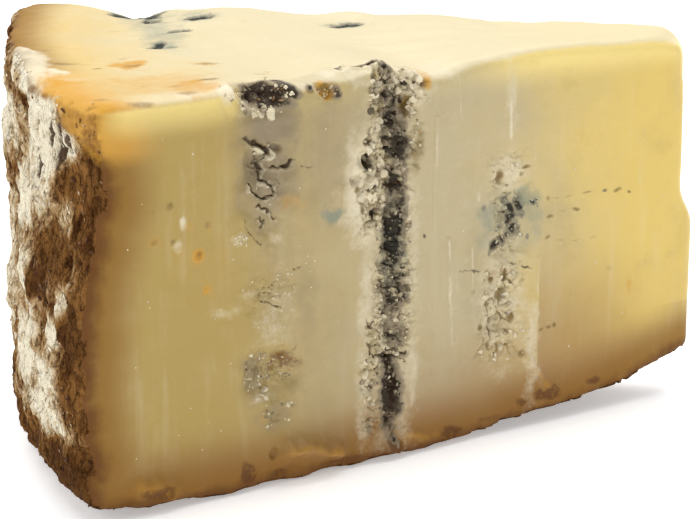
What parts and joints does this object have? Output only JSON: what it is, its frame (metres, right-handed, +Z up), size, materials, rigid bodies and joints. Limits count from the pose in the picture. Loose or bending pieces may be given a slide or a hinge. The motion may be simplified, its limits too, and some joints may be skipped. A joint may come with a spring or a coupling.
{
  "type": "blue cheese wedge",
  "caption": "Wedge cut from a drum-shaped blue cheese, with a craggy natural rind, crumbly upright mould veins in the cut faces and a flat underside to rest on.",
  "frame": {"origin": "centre of the bounding box in plan, at the height of the underside", "axes": "+X towards the point of the wedge, -X towards the rind, -Y towards the shown cut face, +Z up"},
  "size_m": [0.096, 0.0686, 0.0538],
  "materials": {
    "cheese": "waxy pale yellow paste with grey-blue mould veins and a powdery brown rind"
  },
  "bodies": {
    "root": {"cheese_wedge": "cheese"}
  },
  "joints": []
}
